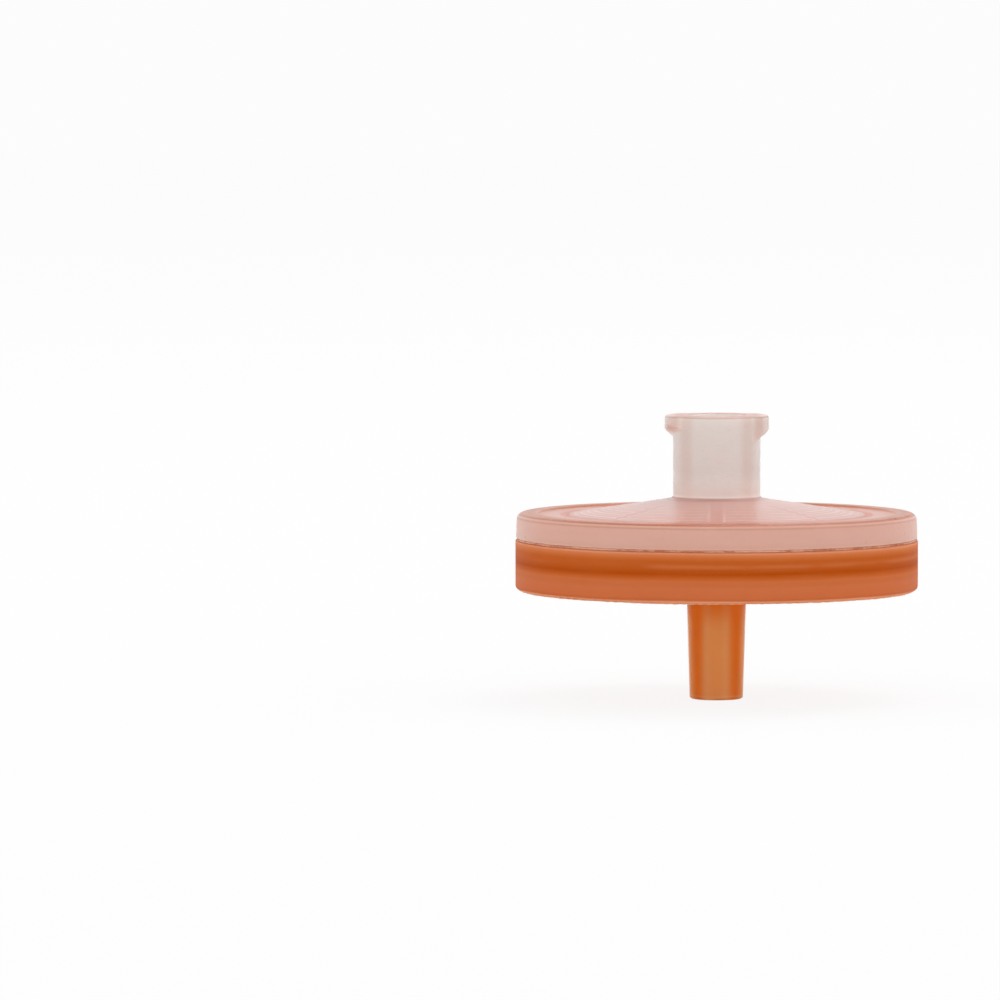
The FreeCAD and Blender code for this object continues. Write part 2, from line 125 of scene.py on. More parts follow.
class Graph:
    # the node tree of a material, or of the world
    def __init__(self, name, owner=None):
        self.owner = owner or bpy.data.materials.new(name)
        self.owner.use_nodes = True
        self.tree = self.owner.node_tree
        self.tree.nodes.clear()
        self.output = self.tree.nodes.new("ShaderNodeOutputWorld" if owner else "ShaderNodeOutputMaterial")

    # adds a node: its type, its settings, which are set first, and its sockets' values or links
    def add(self, kind, settings=None, values=(), output=0):
        node = self.tree.nodes.new(kind)
        for name, value in (settings or {}).items():
            if name == "stops":
                ramp = node.color_ramp
                while len(ramp.elements) < len(value):
                    ramp.elements.new(0.5)
                for element, (place, colour) in zip(ramp.elements, value):
                    element.position, element.color = place, (*colour, 1.0)
            else:
                setattr(node, name, value)
        pairs = values.items() if isinstance(values, dict) else enumerate(values)
        for key, value in pairs:
            if isinstance(value, Wire):
                self.tree.links.new(value.socket, node.inputs[key])
            elif value is not None:
                socket = node.inputs[key]
                wide = socket.type == "RGBA" and len(value) == 3
                socket.default_value = (*value, 1.0) if wide else value
        return Wire(self, node.outputs[output])

    def math(self, operation, *values, clamp=False):
        return self.add("ShaderNodeMath", {"operation": operation, "use_clamp": clamp}, values)

    def principled(self, values):
        return self.add("ShaderNodeBsdfPrincipled", {"subsurface_method": "BURLEY"}, values)

    # a colour between two others; a Mix node's sockets 0, 6 and 7 are its factor and its two colours
    def mix(self, share, first, second):
        values = {0: share, 6: first, 7: second}
        return self.add("ShaderNodeMix", {"data_type": "RGBA"}, values, output=2)

    # the point shaded, in millimetres in the part's own frame
    def place(self):
        metres = self.add("ShaderNodeTexCoord", output=3)  # Object coordinates
        return self.add("ShaderNodeVectorMath", {"operation": "SCALE"}, {0: metres, "Scale": 1 / mm})

    def axes(self, vector):
        split = self.add("ShaderNodeSeparateXYZ", {}, [vector])
        outputs = split.socket.node.outputs
        return [Wire(self, outputs[number]) for number in range(3)]

    # soft noise between 0 and 1, with its middle at 0.5
    def noise(self, vector, scale, detail, rough):
        values = {"Vector": vector, "Scale": scale, "Detail": detail, "Roughness": rough}
        return self.add("ShaderNodeTexNoise", {}, values)

    def bump(self, height, distance):
        values = {"Height": height, "Distance": distance, "Strength": 1.0}
        return self.add("ShaderNodeBump", {}, values)

    def surface(self, shader):
        self.tree.links.new(shader.socket, self.output.inputs["Surface"])
        return self.owner


def paint(node, material):
    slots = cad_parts[node].data.materials
    if not len(slots):
        slots.append(material)
    for number in range(len(slots)):
        slots[number] = material


# The parts' own sizes, in millimetres, which the finishes follow.
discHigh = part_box("outlet_housing")[1]
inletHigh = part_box("inlet_housing")[1]

form = {
    "disc": discHigh[0] / mm,  # outer radius
    "underside": 8.1,  # level of the disc's lower face
    "seam": discHigh[2] / mm,  # level where the two halves meet
    "rimTop": discHigh[2] / mm + 1.95,
    "coneTop": inletHigh[2] / mm - 6.17,  # where the hub stands on the cone
    "boreFloor": inletHigh[2] / mm - 8.4,  # floor of the socket
    "mouth": inletHigh[2] / mm,
    "hub": 3.27,  # radius
    "tipRadius": 2.1,
    "outerRib": 10.62,  # outer radius of the flow field's last rib
    "ribPitch": 1.0,
    "ribWidth": 0.55,
    "fieldRadius": 11.05,  # outer radius of the channel that runs round the field
    "crossChannel": 1.1,  # width of the straight channels
    "diagonalChannel": 0.65,  # and of the slanting ones
}


def above(level, zone):
    # the two ends of a zone that is given from a level or a radius
    return [level + edge for edge in zone]


class Spot:
    # the point shaded, seen from the flow axis: radius, height and what winds round it
    def __init__(self, g):
        self.g = g
        self.point = g.place()
        self.x, self.y, self.z = g.axes(self.point)
        self.radius = (self.x * self.x + self.y * self.y) ** 0.5

    # how far away the nearer of the planes x = 0 and y = 0 is
    def nearer(self):
        g = self.g
        return g.math("MINIMUM", g.math("ABSOLUTE", self.x), g.math("ABSOLUTE", self.y))

    # a vector that runs round the axis, up it and away from it, stretched by the three shares
    def wound(self, turn, rise, reach):
        g = self.g
        angle = g.math("ARCTAN2", self.y, self.x)
        along = {0: g.math("COSINE", angle) * turn, 1: g.math("SINE", angle) * turn}
        along[2] = self.z * rise + self.radius * reach
        return g.add("ShaderNodeCombineXYZ", {}, along)


# Over which distances the flow field's lines fade, in millimetres.
fieldFades = {
    "outerRib": (0.12, -0.05),  # outwards from the outer rib's edge: none, full
    "wall": 0.02,  # a channel's wall is full up to here on each side
    "straight": (0.26, 0.55),  # from the middle of a straight channel: full, none
    "slanting": (0.12, 0.42),  # the same for a slanting one
    "groove": 0.14,  # each side of the channel that runs round the field
}


# The flow field's lines. Each rib is a bar bent round the axis, and its outline is where the
# distance to a round-cornered box, in radius and in distance from the nearest channel, is nil.
def fieldLines(g, spot, lineWidth, corner):
    x, y = g.math("ABSOLUTE", spot.x), g.math("ABSOLUTE", spot.y)
    square = g.math("MINIMUM", x, y)  # distance from the middle of a straight channel
    slant = g.math("ABSOLUTE", x - y) * math.sqrt(0.5)  # the same for a slanting one
    fromEnd = g.math("MINIMUM", square - form["crossChannel"] / 2, slant - form["diagonalChannel"] / 2)
    outward = form["outerRib"] - spot.radius
    phase = outward - g.math("FLOOR", outward / form["ribPitch"]) * form["ribPitch"]
    sideways = g.math("ABSOLUTE", phase - form["ribWidth"] / 2) - form["ribWidth"] / 2 + corner
    endways = corner - fromEnd
    outside = g.math("MAXIMUM", sideways, 0.0) ** 2.0 + g.math("MAXIMUM", endways, 0.0) ** 2.0
    within = g.math("MINIMUM", g.math("MAXIMUM", sideways, endways), 0.0)
    distance = g.math("ABSOLUTE", outside**0.5 + within - corner)
    inField = spot.radius.step(*above(form["outerRib"], fieldFades["outerRib"]))
    ribs = (1 - distance.step(0.0, lineWidth)) * inField
    fromWall = g.math("ABSOLUTE", square - form["crossChannel"] / 2)
    walls = (1 - fromWall.step(fieldFades["wall"], lineWidth)) * inField
    straight = (1 - square.step(*fieldFades["straight"])) * inField
    slanting = (1 - slant.step(*fieldFades["slanting"])) * inField
    groove = spot.radius.band(form["outerRib"], form["fieldRadius"], fieldFades["groove"])
    return {"ribs": ribs, "walls": walls, "straight": straight, "slanting": slanting, "groove": groove}


# Moulded plastic: a milky shader, and a clearer one for a tube that stands alone in the light,
# each with its own sockets on top of those they have in common. The last value is how much of the
# clearer one shows.
def plastic(g, look, skin, tube, share):
    shared = {
        "IOR": look["ior"],
        "Specular IOR Level": look["shine"],
        "Subsurface Weight": look["subsurface"],
        "Subsurface Radius": look["depth"],
        "Subsurface Scale": mm,
    }
    clear = {"Transmission Weight": look["clear"], "Roughness": look["tubeRoughness"]}
    milky = g.principled({**shared, **skin})
    clearer = g.principled({**shared, **clear, **tube})
    return g.surface(g.add("ShaderNodeMixShader", {}, [share, milky, clearer]))


def tone(red, green, blue):
    # a colour as a screen shows it, turned into the renderer's linear one
    def linear(value):
        value = value / 255
        return value / 12.92 if value <= 0.04045 else ((value + 0.055) / 1.055) ** 2.4

    return (linear(red), linear(green), linear(blue))


dark = (0.0, 0.0, 0.0)


# Natural polypropylene: the clear milky half. Its pink tints are painted light, the orange half's light
# coming up through it. They are deeper low down and turn to the cup's orange where that shows through the
# cap.
natural = {
    "hub": tone(253, 249, 244),
    "tube": tone(255, 250, 245),  # the hub where light goes through it
    "foot": tone(250, 238, 231),  # the hub just over the disc, pinker from the painted orange light below
    "thickWallShade": tone(247, 229, 220),  # painted shade beside the socket, where light crosses the hub's thickest wall
    "lipShade": tone(180, 134, 124),  # painted shade in a line just under the mouth
    "lug": tone(238, 208, 196),
    "footShade": tone(198, 142, 132),  # painted shade in a line where the hub meets the cone
    "mouthFace": tone(220, 172, 161),
    # painted highlight on the lugs' upper edges and top faces
    "crest": tone(240, 218, 209),
    "bore": tone(238, 224, 216),
    # the socket's floor, pinker from the painted orange light below
    "boreFloor": tone(234, 200, 188),
    "glow": tone(202, 190, 184),
    "boreGlow": 0.4,  # light that the walls let into the socket
    "skirt": tone(228, 176, 160),  # outer wall of the cap
    "skirtLow": tone(226, 169, 147),
    "seamChamferLight": tone(236, 190, 170),  # painted highlight on the chamfer along the seam
    "slope": tone(190, 120, 94),  # from the land up to the rim
    "roundingShade": tone(206, 150, 130),  # painted shade in a line under the rim's rounding
    "rings": [  # radius from the flow axis, colour; the outermost stops darken for painted shade on the rim's rounding
        (3.4, tone(219, 167, 155)),
        (5.0, tone(219, 163, 151)),
        (7.0, tone(215, 154, 140)),
        (10.2, tone(211, 140, 123)),
        (10.7, tone(208, 134, 117)),
        (11.4, tone(216, 149, 133)),
        (12.2, tone(216, 147, 128)),
        (12.8, tone(211, 135, 106)),
        (13.2, tone(202, 115, 73)),
        (13.55, tone(192, 95, 29)),
        (13.9, tone(183, 85, 0)),
        (14.15, tone(187, 90, 15)),
        (14.35, tone(195, 101, 45)),
        (14.6, tone(190, 104, 63)),
        (14.9, tone(171, 99, 66)),
    ],
    # painted highlight along the edges of the ribs
    "ribEdgeHighlight": tone(238, 190, 176),
    "channel": tone(204, 128, 114),
    "haze": tone(240, 206, 196),
    "streak": tone(206, 142, 124),
    "clear": 0.2,  # share of light that goes straight through a tube
    "tubeRoughness": 0.15,
    "rimCoat": 0.2,  # weight of the gloss over the rim
    "coneCoat": 0.9,
    "coatRoughness": 0.25,
    "coatIor": 1.75,
    "landDull": 0.3,  # how much rougher the land and the cone are
    "subsurface": 1.0,
    "depth": (1.0, 0.7, 0.6),  # how far red, green and blue light strays inside, mm
    "roughness": 0.3,
    "shine": 0.25,
    "ior": 1.49,
    "lines": (0.17, 0.2),  # width of the field's lines, rounding of the rib ends, mm
    "share": {  # how strongly each tint is laid on
        "straight": 0.45,
        "slanting": 0.4,
        "groove": 0.25,
        "ribs": 0.75,
        "walls": 0.5,
        "slope": 0.8,
        "blotch": 0.2,
        "roundingShade": 0.8,
        "thickWallShade": 0.6,
        "thickWallShadeInTube": 0.7,
        "footShade": 0.9,
        "haze": 0.3,
        "streak": 0.3,
        "skin": 0.25,
        "crest": 0.15,
        "lipShade": 0.9,
        "lugFaceHighlight": 0.6,
        "inTube": 0.5,  # all of these where light goes through the hub
    },
    "reach": {  # the two radii of each step or band, mm
        "pattern": (3.0, 9.4),  # it fades where the cone is thick
        "slope": (13.2, 13.36),
        "socket": (2.3, 2.5),
        "footShade": (3.1, 3.2),
        "lipShade": (2.8, 3.0),
        "lug": (3.32, 3.6),
        "lugFaceHighlight": (3.0, 3.7),
        "rim": (10.9, 11.2),
        "cone": (10.6, 11.3),
        "land": (11.0, 11.6),
        "skirt": (-0.42, -0.24),  # from the disc's edge
        "crest": (0.2, 0.5),  # from the hub's wall
        "thickWallShade": (1.5, 2.2),  # of the painted shade in the thick wall, from the nearer of the planes x = 0 and y = 0
    },
    "rise": {  # the two heights of each step or band, mm
        # from the seam
        "land": (1.0, 1.2),
        "skirt": (0.1, 0.6),
        "seamChamferLight": (0.12, 0.26),
        # from the rim's top
        "roundingShade": (-0.4, -0.26),
        "rim": (-0.3, -0.1),
        "rounding": (-0.2, -0.08),
        "slope": (-0.13, -0.05),
        # from where the hub stands on the cone
        "onHub": (-0.1, 0.2),
        "footShade": (-0.1, 0.1),
        "hub": (0.1, 2.2),
        "tube": (0.2, 2.4),
        # from the socket's floor, and for the glow's upper one from the mouth
        "bore": (0.1, 3.0),
        "boreGlow": (2.0, -0.6),
        # from the mouth
        "crest": (-0.35, -0.08),
        "lipShade": (-0.19, -0.08),
        "face": (-0.1, -0.03),
    },
    "soft": {  # how softly each band ends, mm
        "slope": 0.03,
        "roundingShade": 0.06,
        "footShade": 0.05,
        "crest": 0.06,
        "lipShade": 0.04,
        "land": 0.15,
    },
    "wound": {  # stretch of a noise round the axis, up it and away from it
        "blotch": (1.6, 0.5, 0.0),
        "streak": (5.0, 3.0, 2.0),
    },
    "grain": {  # scale, detail and roughness of each noise
        "patch": (0.8, 2.0, 0.5),
        "blotch": (1.0, 2.0, 0.5),
        "haze": (0.35, 3.0, 0.5),
        "streak": (1.0, 3.0, 0.5),
        "skin": (3.0, 4.0, 0.6),
        "pores": (14.0, 2.0, 0.5),
    },
    "patchEdges": (0.3, 0.65),
    "patchRange": (0.5, 0.45),  # strength of the field's faintest lines, and what is added at most
    "blotchEdges": (0.35, 0.65),
    "bumpHeight": 0.03,  # mm
    "skinInBump": 0.7,
    "roughnessRange": 0.14,
}


def naturalPlastic(look):
    g = Graph("naturalPolypropylene")
    spot = Spot(g)
    much, reach, rise, soft = look["share"], look["reach"], look["rise"], look["soft"]
    seam, rimTop, foot, mouth = form["seam"], form["rimTop"], form["coneTop"], form["mouth"]
    floor, wound, grain = form["boreFloor"], look["wound"], look["grain"]

    # the disc's top by radius, and the flow field that shows through it, painted on: rib edges and channel
    # walls as painted highlights, channels darker
    largest = look["rings"][-1][0]
    stops = [(radius / largest, colour) for radius, colour in look["rings"]]
    disc = g.add("ShaderNodeValToRGB", {"stops": stops}, [spot.radius / largest])
    lines = fieldLines(g, spot, *look["lines"])
    faint, more = look["patchRange"]
    patchy = g.noise(spot.point, *grain["patch"]).step(*look["patchEdges"]) * more + faint
    shown = spot.radius.step(*reach["pattern"])
    channels = lines["straight"] * much["straight"] + lines["slanting"] * much["slanting"]
    disc = g.mix(channels * shown, disc, look["channel"])
    disc = g.mix(lines["groove"] * much["groove"], disc, look["channel"])
    # painted highlights along the rib edges and channel walls
    bright = g.math("MAXIMUM", lines["ribs"] * much["ribs"], lines["walls"] * much["walls"])
    disc = g.mix(bright * shown * patchy, disc, look["ribEdgeHighlight"])
    onSlope = spot.radius.band(*reach["slope"], soft["slope"]) * spot.z.step(*above(rimTop, rise["slope"]))
    disc = g.mix(onSlope * much["slope"], disc, look["slope"])

    # the cap's outer wall, from its rounded rim down to the seam, with painted shade under the rounding and
    # a painted highlight along the seam
    skirt = g.mix(spot.z.step(*above(seam, rise["skirt"])), look["skirtLow"], look["skirt"])
    blotch = g.noise(spot.wound(*wound["blotch"]), *grain["blotch"])
    skirt = g.mix(blotch.step(*look["blotchEdges"]) * much["blotch"], skirt, look["skirtLow"])
    # painted highlight on the chamfer along the seam
    skirt = g.mix(1 - spot.z.step(*above(seam, rise["seamChamferLight"])), skirt, look["seamChamferLight"])
    # painted shade in a line under the rim's rounding
    onLine = spot.z.band(*above(rimTop, rise["roundingShade"]), soft["roundingShade"])
    skirt = g.mix(onLine * much["roundingShade"], skirt, look["roundingShade"])
    onSkirt = spot.radius.step(*above(form["disc"], reach["skirt"]))
    onSkirt = onSkirt * (1 - spot.z.step(*above(rimTop, rise["rounding"])))
    colour = g.mix(onSkirt, disc, skirt)

    # hub and socket, with painted shade in the thick wall beside the socket and at the hub's foot
    inBore = 1 - spot.radius.step(*reach["socket"])
    # painted shade where the hub's wall is thickest, beside the socket
    thick = spot.nearer().step(*reach["thickWallShade"])
    hub = g.mix(spot.z.step(*above(foot, rise["hub"])), look["foot"], look["hub"])
    hub = g.mix(thick * much["thickWallShade"], hub, look["thickWallShade"])
    bore = g.mix(spot.z.step(*above(floor, rise["bore"])), look["boreFloor"], look["bore"])
    hub = g.mix(inBore, hub, bore)
    onHub = spot.z.step(*above(foot, rise["onHub"]))
    colour = g.mix(g.math("MAXIMUM", onHub, inBore), colour, hub)
    # painted shade in a line where the hub meets the cone
    atFoot = spot.z.band(*above(foot, rise["footShade"]), soft["footShade"])
    atFoot = atFoot * spot.radius.step(*reach["footShade"])
    colour = g.mix(atFoot * much["footShade"], colour, look["footShade"])
    onFace = spot.z.step(*above(mouth, rise["face"]))
    # painted highlight along the lugs' upper edges
    crest = spot.z.band(*above(mouth, rise["crest"]), soft["crest"])
    crest = crest * spot.radius.step(*above(form["hub"], reach["crest"]))
    # painted shade in a line just under the mouth
    lipShade = spot.z.band(*above(mouth, rise["lipShade"]), soft["lipShade"])
    lipShade = lipShade * spot.radius.step(*reach["lipShade"])

    # haze, fine streaks round the axis, the tints of the lugs and the mouth, painted highlights on the lugs
    # and painted shade under the mouth
    haze = g.noise(spot.point, *grain["haze"])
    streaks = g.noise(spot.wound(*wound["streak"]), *grain["streak"])
    skin = g.noise(spot.point, *grain["skin"])
    pores = g.noise(spot.point, *grain["pores"])
    patches = [
        ((haze - 0.5) * much["haze"], look["haze"]),
        ((streaks - 0.5) * much["streak"], look["streak"]),
        ((skin - 0.5) * much["skin"], look["haze"]),
        (crest * much["crest"], look["crest"]),
        (spot.radius.step(*reach["lug"]) * onHub, look["lug"]),
        (onFace, look["mouthFace"]),
        (lipShade * much["lipShade"], look["lipShade"]),
        # painted highlight on the lugs' top faces
        (onFace * spot.radius.step(*reach["lugFaceHighlight"]) * much["lugFaceHighlight"], look["crest"]),
    ]
    # the clearer shader gets the same painted shade of the thick wall
    tube = g.mix(thick * much["thickWallShadeInTube"], look["tube"], look["thickWallShade"])
    for share, tint in patches:
        colour = g.mix(share, colour, tint)
        tube = g.mix(share * much["inTube"], tube, tint)

    inSkin = look["skinInBump"]
    bump = g.bump(skin * inSkin + pores * (1 - inSkin), look["bumpHeight"] * mm)
    low, high = rise["boreGlow"]
    glow = inBore * (1 - spot.z.step(floor + low, mouth + high)) * look["boreGlow"]
    onRim = spot.radius.step(*reach["rim"]) * spot.z.step(*above(rimTop, rise["rim"]))
    onCone = (1 - spot.radius.step(*reach["cone"])) * (1 - onHub)
    onLand = spot.radius.band(*reach["land"], soft["land"]) * spot.z.step(*above(seam, rise["land"]))
    spread = look["roughnessRange"]
    least = look["roughness"] - spread / 2
    milky = {
        "Base Color": colour,
        "Roughness": skin * spread + (onLand + onCone) * look["landDull"] + least,
        "Coat Weight": onRim * look["rimCoat"] + onCone * look["coneCoat"],
        "Coat Roughness": look["coatRoughness"],
        "Coat IOR": look["coatIor"],
        "Emission Color": g.mix(glow, dark, look["glow"]),
        "Emission Strength": 1.0,
        "Normal": bump,
    }
    share = spot.z.step(*above(foot, rise["tube"])) * (1 - onFace)
    return plastic(g, look, milky, {"Base Color": tube, "Normal": bump}, share)


# Orange polypropylene: the coloured half with the outlet tip.
orange = {
    # Among the wall's bands, the dark stops round 10.25 mm are painted shade, the pale stops near 11.7 mm a
    # painted highlight on the chamfer under the seam, and the last two stops painted shade in the seam.
    "levels": [  # height on the cup's wall, colour
        (8.1, tone(254, 183, 142)),
        (8.22, tone(244, 164, 123)),
        (8.34, tone(204, 106, 60)),
        (8.55, tone(214, 114, 66)),
        (9.15, tone(216, 117, 72)),
        (9.45, tone(211, 113, 64)),
        (9.7, tone(213, 114, 63)),
        (9.98, tone(202, 96, 34)),
        (10.25, tone(187, 76, 4)),
        (10.55, tone(195, 89, 26)),
        (10.8, tone(202, 96, 35)),
        (11.15, tone(202, 97, 35)),
        (11.4, tone(212, 113, 56)),
        (11.6, tone(222, 128, 81)),
        (11.74, tone(233, 151, 110)),
        (11.85, tone(208, 121, 83)),
        (11.9, tone(195, 108, 72)),
    ],
    "corner": tone(198, 95, 41),
    "underside": tone(211, 108, 47),
    "underLine": tone(230, 142, 95),
    "tip": tone(240, 118, 20),
    "tube": tone(255, 133, 14),
    "haze": tone(216, 130, 84),
    # painted light down the middle of the tip
    "tipMiddleLight": tone(255, 204, 130),
    "stripe": tone(255, 214, 160),  # painted highlight beside the bore of the tip
    "deep": tone(176, 72, 10),
    "tipGlow": tone(56, 40, 20),  # light that comes through the tip's middle
    "clear": 0.1,
    "tubeRoughness": 0.15,
    "subsurface": 1.0,
    "depth": (0.6, 0.3, 0.2),
    "roughness": 0.55,
    "shine": 0.06,
    "ior": 1.49,
    "sway": 0.16,  # how far the wall's bands waver up and down, mm
    "lines": (0.2, 0.2),  # width of the field's lines, rounding of the rib ends, mm
    "share": {  # how strongly each tint is laid on
        "gleam": 0.4,
        "channels": 0.2,
        "ribs": 0.16,
        "streak": 0.4,
        "haze": 0.3,
        "skin": 0.2,
        "stripe": 0.4,
        "endLine": 0.5,
        "inTube": 0.5,  # all of these where light goes through the tip
    },
    "reach": {  # the two distances of each step, mm
        "corner": (-0.6, -0.3),  # from the disc's edge
        "wall": (-0.35, -0.1),
        "tip": (0.3, 0.8),  # from the tip's wall
        "middle": (0.6, 1.5),  # from the nearer of the planes x = 0 and y = 0
        "stripe": (0.05, 0.5),  # from the stripe's own middle
        "stripeSide": (1.0, 1.5),  # from the plane y = 0
    },
    "rise": {  # the two heights of each step or band, mm
        "gleam": (10.66, 10.9),
        "endLine": (0.22, 0.34),
        "stripe": (0.0, 7.0),
        "middle": (5.0, -0.4),  # the upper one from the underside
        "tip": (-0.1, 0.2),  # both from the underside
        "tube": (-1.2, -0.2),
    },
    "soft": {"gleam": 0.14, "endLine": 0.05},
    "gleamEdges": (0.4, 0.62),
    "stripePlace": 0.7,  # the stripes' distance from the plane x = 0
    "stripeRange": (0.9, 0.4),  # their strength at the tip's end, and what they lose on the way up
    "wound": {
        "sway": (1.2, 0.0, 0.0),
        "gleam": (2.2, 0.4, 0.0),
        "streak": (3.0, 5.0, 2.0),
    },
    "grain": {
        "sway": (1.0, 2.0, 0.5),
        "gleam": (1.0, 2.0, 0.5),
        "streak": (1.0, 3.0, 0.5),
        "haze": (0.4, 3.0, 0.5),
        "skin": (3.0, 4.0, 0.6),
    },
    "bumpHeight": 0.03,  # mm
    "skinInBump": 0.7,
    "roughnessRange": 0.14,
}


def orangePlastic(look):
    g = Graph("orangePolypropylene")
    spot = Spot(g)
    much, reach, rise, soft = look["share"], look["reach"], look["rise"], look["soft"]
    wound, grain = look["wound"], look["grain"]
    disc, underside = form["disc"], form["underside"]

    # the cup's wall, in bands that waver a little as they go round; some bands are painted shade and
    # highlight
    low, high = look["levels"][0][0], look["levels"][-1][0]
    stops = [((level - low) / (high - low), colour) for level, colour in look["levels"]]
    sway = (g.noise(spot.wound(*wound["sway"]), *grain["sway"]) - 0.5) * look["sway"]
    wall = g.add("ShaderNodeValToRGB", {"stops": stops}, [(spot.z + sway - low) / (high - low)])
    # a patchy painted highlight band across the wall
    patchy = g.noise(spot.wound(*wound["gleam"]), *grain["gleam"]).step(*look["gleamEdges"])
    gleam = spot.z.band(*rise["gleam"], soft["gleam"]) * patchy
    wall = g.mix(gleam * much["gleam"], wall, look["haze"])

    # the underside, with the flow field inside painted faintly on it as light and shade
    under = g.mix(spot.radius.step(*above(disc, reach["corner"])), look["underside"], look["corner"])
    lines = fieldLines(g, spot, *look["lines"])
    under = g.mix((lines["straight"] + lines["slanting"]) * much["channels"], under, look["underLine"])
    under = g.mix(lines["ribs"] * much["ribs"], under, look["deep"])
    colour = g.mix(spot.radius.step(*above(disc, reach["wall"])), under, wall)

    # the tip: painted light in the middle, painted highlights as pale stripes beside its bore, and a pale
    # line round its end
    onTip = 1 - spot.radius.step(*above(form["tipRadius"], reach["tip"]))
    onTip = onTip * (1 - spot.z.step(*above(underside, rise["tip"])))
    colour = g.mix(onTip, colour, look["tip"])
    low, high = rise["middle"]
    # painted light down the middle of the tip, facing the four sides
    middle = (1 - spot.nearer().step(*reach["middle"])) * onTip
    middle = middle * (1 - spot.z.step(low, underside + high))
    # painted highlights as stripes beside the bore, on the tip's front and back
    beside = g.math("ABSOLUTE", g.math("ABSOLUTE", spot.x) - look["stripePlace"])
    strong, loss = look["stripeRange"]
    stripe = (1 - beside.step(*reach["stripe"])) * g.math("ABSOLUTE", spot.y).step(*reach["stripeSide"])
    stripe = stripe * onTip * (strong - spot.z.step(*rise["stripe"]) * loss)
    endLine = spot.z.band(*rise["endLine"], soft["endLine"])

    # haze, and fine streaks round the axis
    streaks = g.noise(spot.wound(*wound["streak"]), *grain["streak"])
    haze = g.noise(spot.point, *grain["haze"])
    skin = g.noise(spot.point, *grain["skin"])
    patches = [
        ((streaks - 0.5) * much["streak"], look["haze"]),
        ((haze - 0.5) * much["haze"], look["deep"]),
        ((skin - 0.5) * much["skin"], look["haze"]),
        (middle, look["tipMiddleLight"]),
        (stripe * much["stripe"], look["stripe"]),
        (endLine * much["endLine"], look["stripe"]),
    ]
    tube = look["tube"]
    for share, tint in patches:
        colour = g.mix(share, colour, tint)
        tube = g.mix(share * much["inTube"], tube, tint)

    inSkin, spread = look["skinInBump"], look["roughnessRange"]
    bump = g.bump(skin * inSkin + streaks * (1 - inSkin), look["bumpHeight"] * mm)
    roughness = skin * spread + (look["roughness"] - spread / 2)
    milky = {"Base Color": colour, "Roughness": roughness, "Normal": bump}
    lit = {
        "Base Color": tube,
        "Emission Color": g.mix(middle, dark, look["tipGlow"]),
        "Emission Strength": 1.0,
        "Normal": bump,
    }
    share = 1 - spot.z.step(*above(underside, rise["tube"]))
    return plastic(g, look, milky, lit, share)


# The membrane: a fine porous film. Its salmon colour is painted light, the white film lit by the orange
# half's light, and the ribs and channels above it are painted on it as light and shade.
film = {
    # salmon, painted for the orange light that reaches the white film
    "colour": tone(194, 142, 124),
    "pore": tone(184, 124, 106),
    "ribs": tone(236, 180, 164),
    "channels": tone(200, 112, 92),
    "glow": 0.5,  # light that the plastic lets in
    "roughness": 0.75,
    "lines": (0.16, 0.2),  # width of the field's lines, rounding of the rib ends, mm
    "lineShare": 0.3,
    "grain": (9.0, 4.0, 0.7),
    "poreEdges": (0.35, 0.7),
    "bumpHeight": 0.02,  # mm
}


def membraneFilm(look):
    g = Graph("membraneFilm")
    spot = Spot(g)
    pores = g.noise(spot.point, *look["grain"])
    colour = g.mix(pores.step(*look["poreEdges"]), look["pore"], look["colour"])
    # painted light and shade of the ribs and channels above the film
    lines = fieldLines(g, spot, *look["lines"])
    colour = g.mix(lines["ribs"] * look["lineShare"], colour, look["ribs"])
    colour = g.mix((lines["straight"] + lines["slanting"]) * look["lineShare"], colour, look["channels"])
    values = {
        "Base Color": colour,
        "Roughness": look["roughness"],
        "Emission Color": g.mix(look["glow"], dark, colour),
        "Emission Strength": 1.0,
        "Normal": g.bump(pores, look["bumpHeight"] * mm),
    }
    return g.surface(g.principled(values))


paint("inlet_housing", naturalPlastic(natural))
paint("outlet_housing", orangePlastic(orange))
paint("filter_membrane", membraneFilm(film))
print("moulded parts finished")


# A wave over one turn: the sum of its overtones, each with a chosen random phase and weaker as
# its number grows, scaled to run between -1 and 1.
def wander(turns, overtones, fading, seed):
    turn = np.linspace(0.0, 2 * math.pi, turns, endpoint=False)
    number = np.arange(overtones[0], overtones[1] + 1)[:, None]
    phase = np.random.default_rng(seed).uniform(0.0, 2 * math.pi, number.shape)
    wave = (np.cos(number * turn + phase) / number**fading).sum(axis=0)
    return wave / np.abs(wave).max()


# A closed ring, as the weld bead and the flash are. Its section at each angle is an ellipse, squared
# off by a power under 1, about a middle radius and level; these and its half width and height are
# arrays over the angle, in millimetres.
def ringPiece(name, radius, level, halfWide, halfHigh, sides, material, power=1.0):
    turns = len(radius)
    turn = np.linspace(0.0, 2 * math.pi, turns, endpoint=False)[:, None]
    side = np.linspace(0.0, 2 * math.pi, sides, endpoint=False)[None, :]
    across = np.sign(np.cos(side)) * np.abs(np.cos(side)) ** power
    upward = np.sign(np.sin(side)) * np.abs(np.sin(side)) ** power
    reach = radius[:, None] + halfWide[:, None] * across
    height = level[:, None] + halfHigh[:, None] * upward
    points = np.stack([reach * np.cos(turn), reach * np.sin(turn), height], axis=-1) * mm

    step, place = np.arange(turns)[:, None], np.arange(sides)[None, :]
    onward, around = (step + 1) % turns, (place + 1) % sides
    corners = [step * sides + place, onward * sides + place, onward * sides + around, step * sides + around]
    faces = np.stack(corners, axis=-1).reshape(-1, 4)
    mesh = bpy.data.meshes.new(name)
    mesh.from_pydata(points.reshape(-1, 3).tolist(), [], faces.tolist())
    mesh.shade_smooth()
    mesh.materials.append(material)
    piece = bpy.data.objects.new(name, mesh)
    scene.collection.objects.link(piece)
    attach(piece, "root")


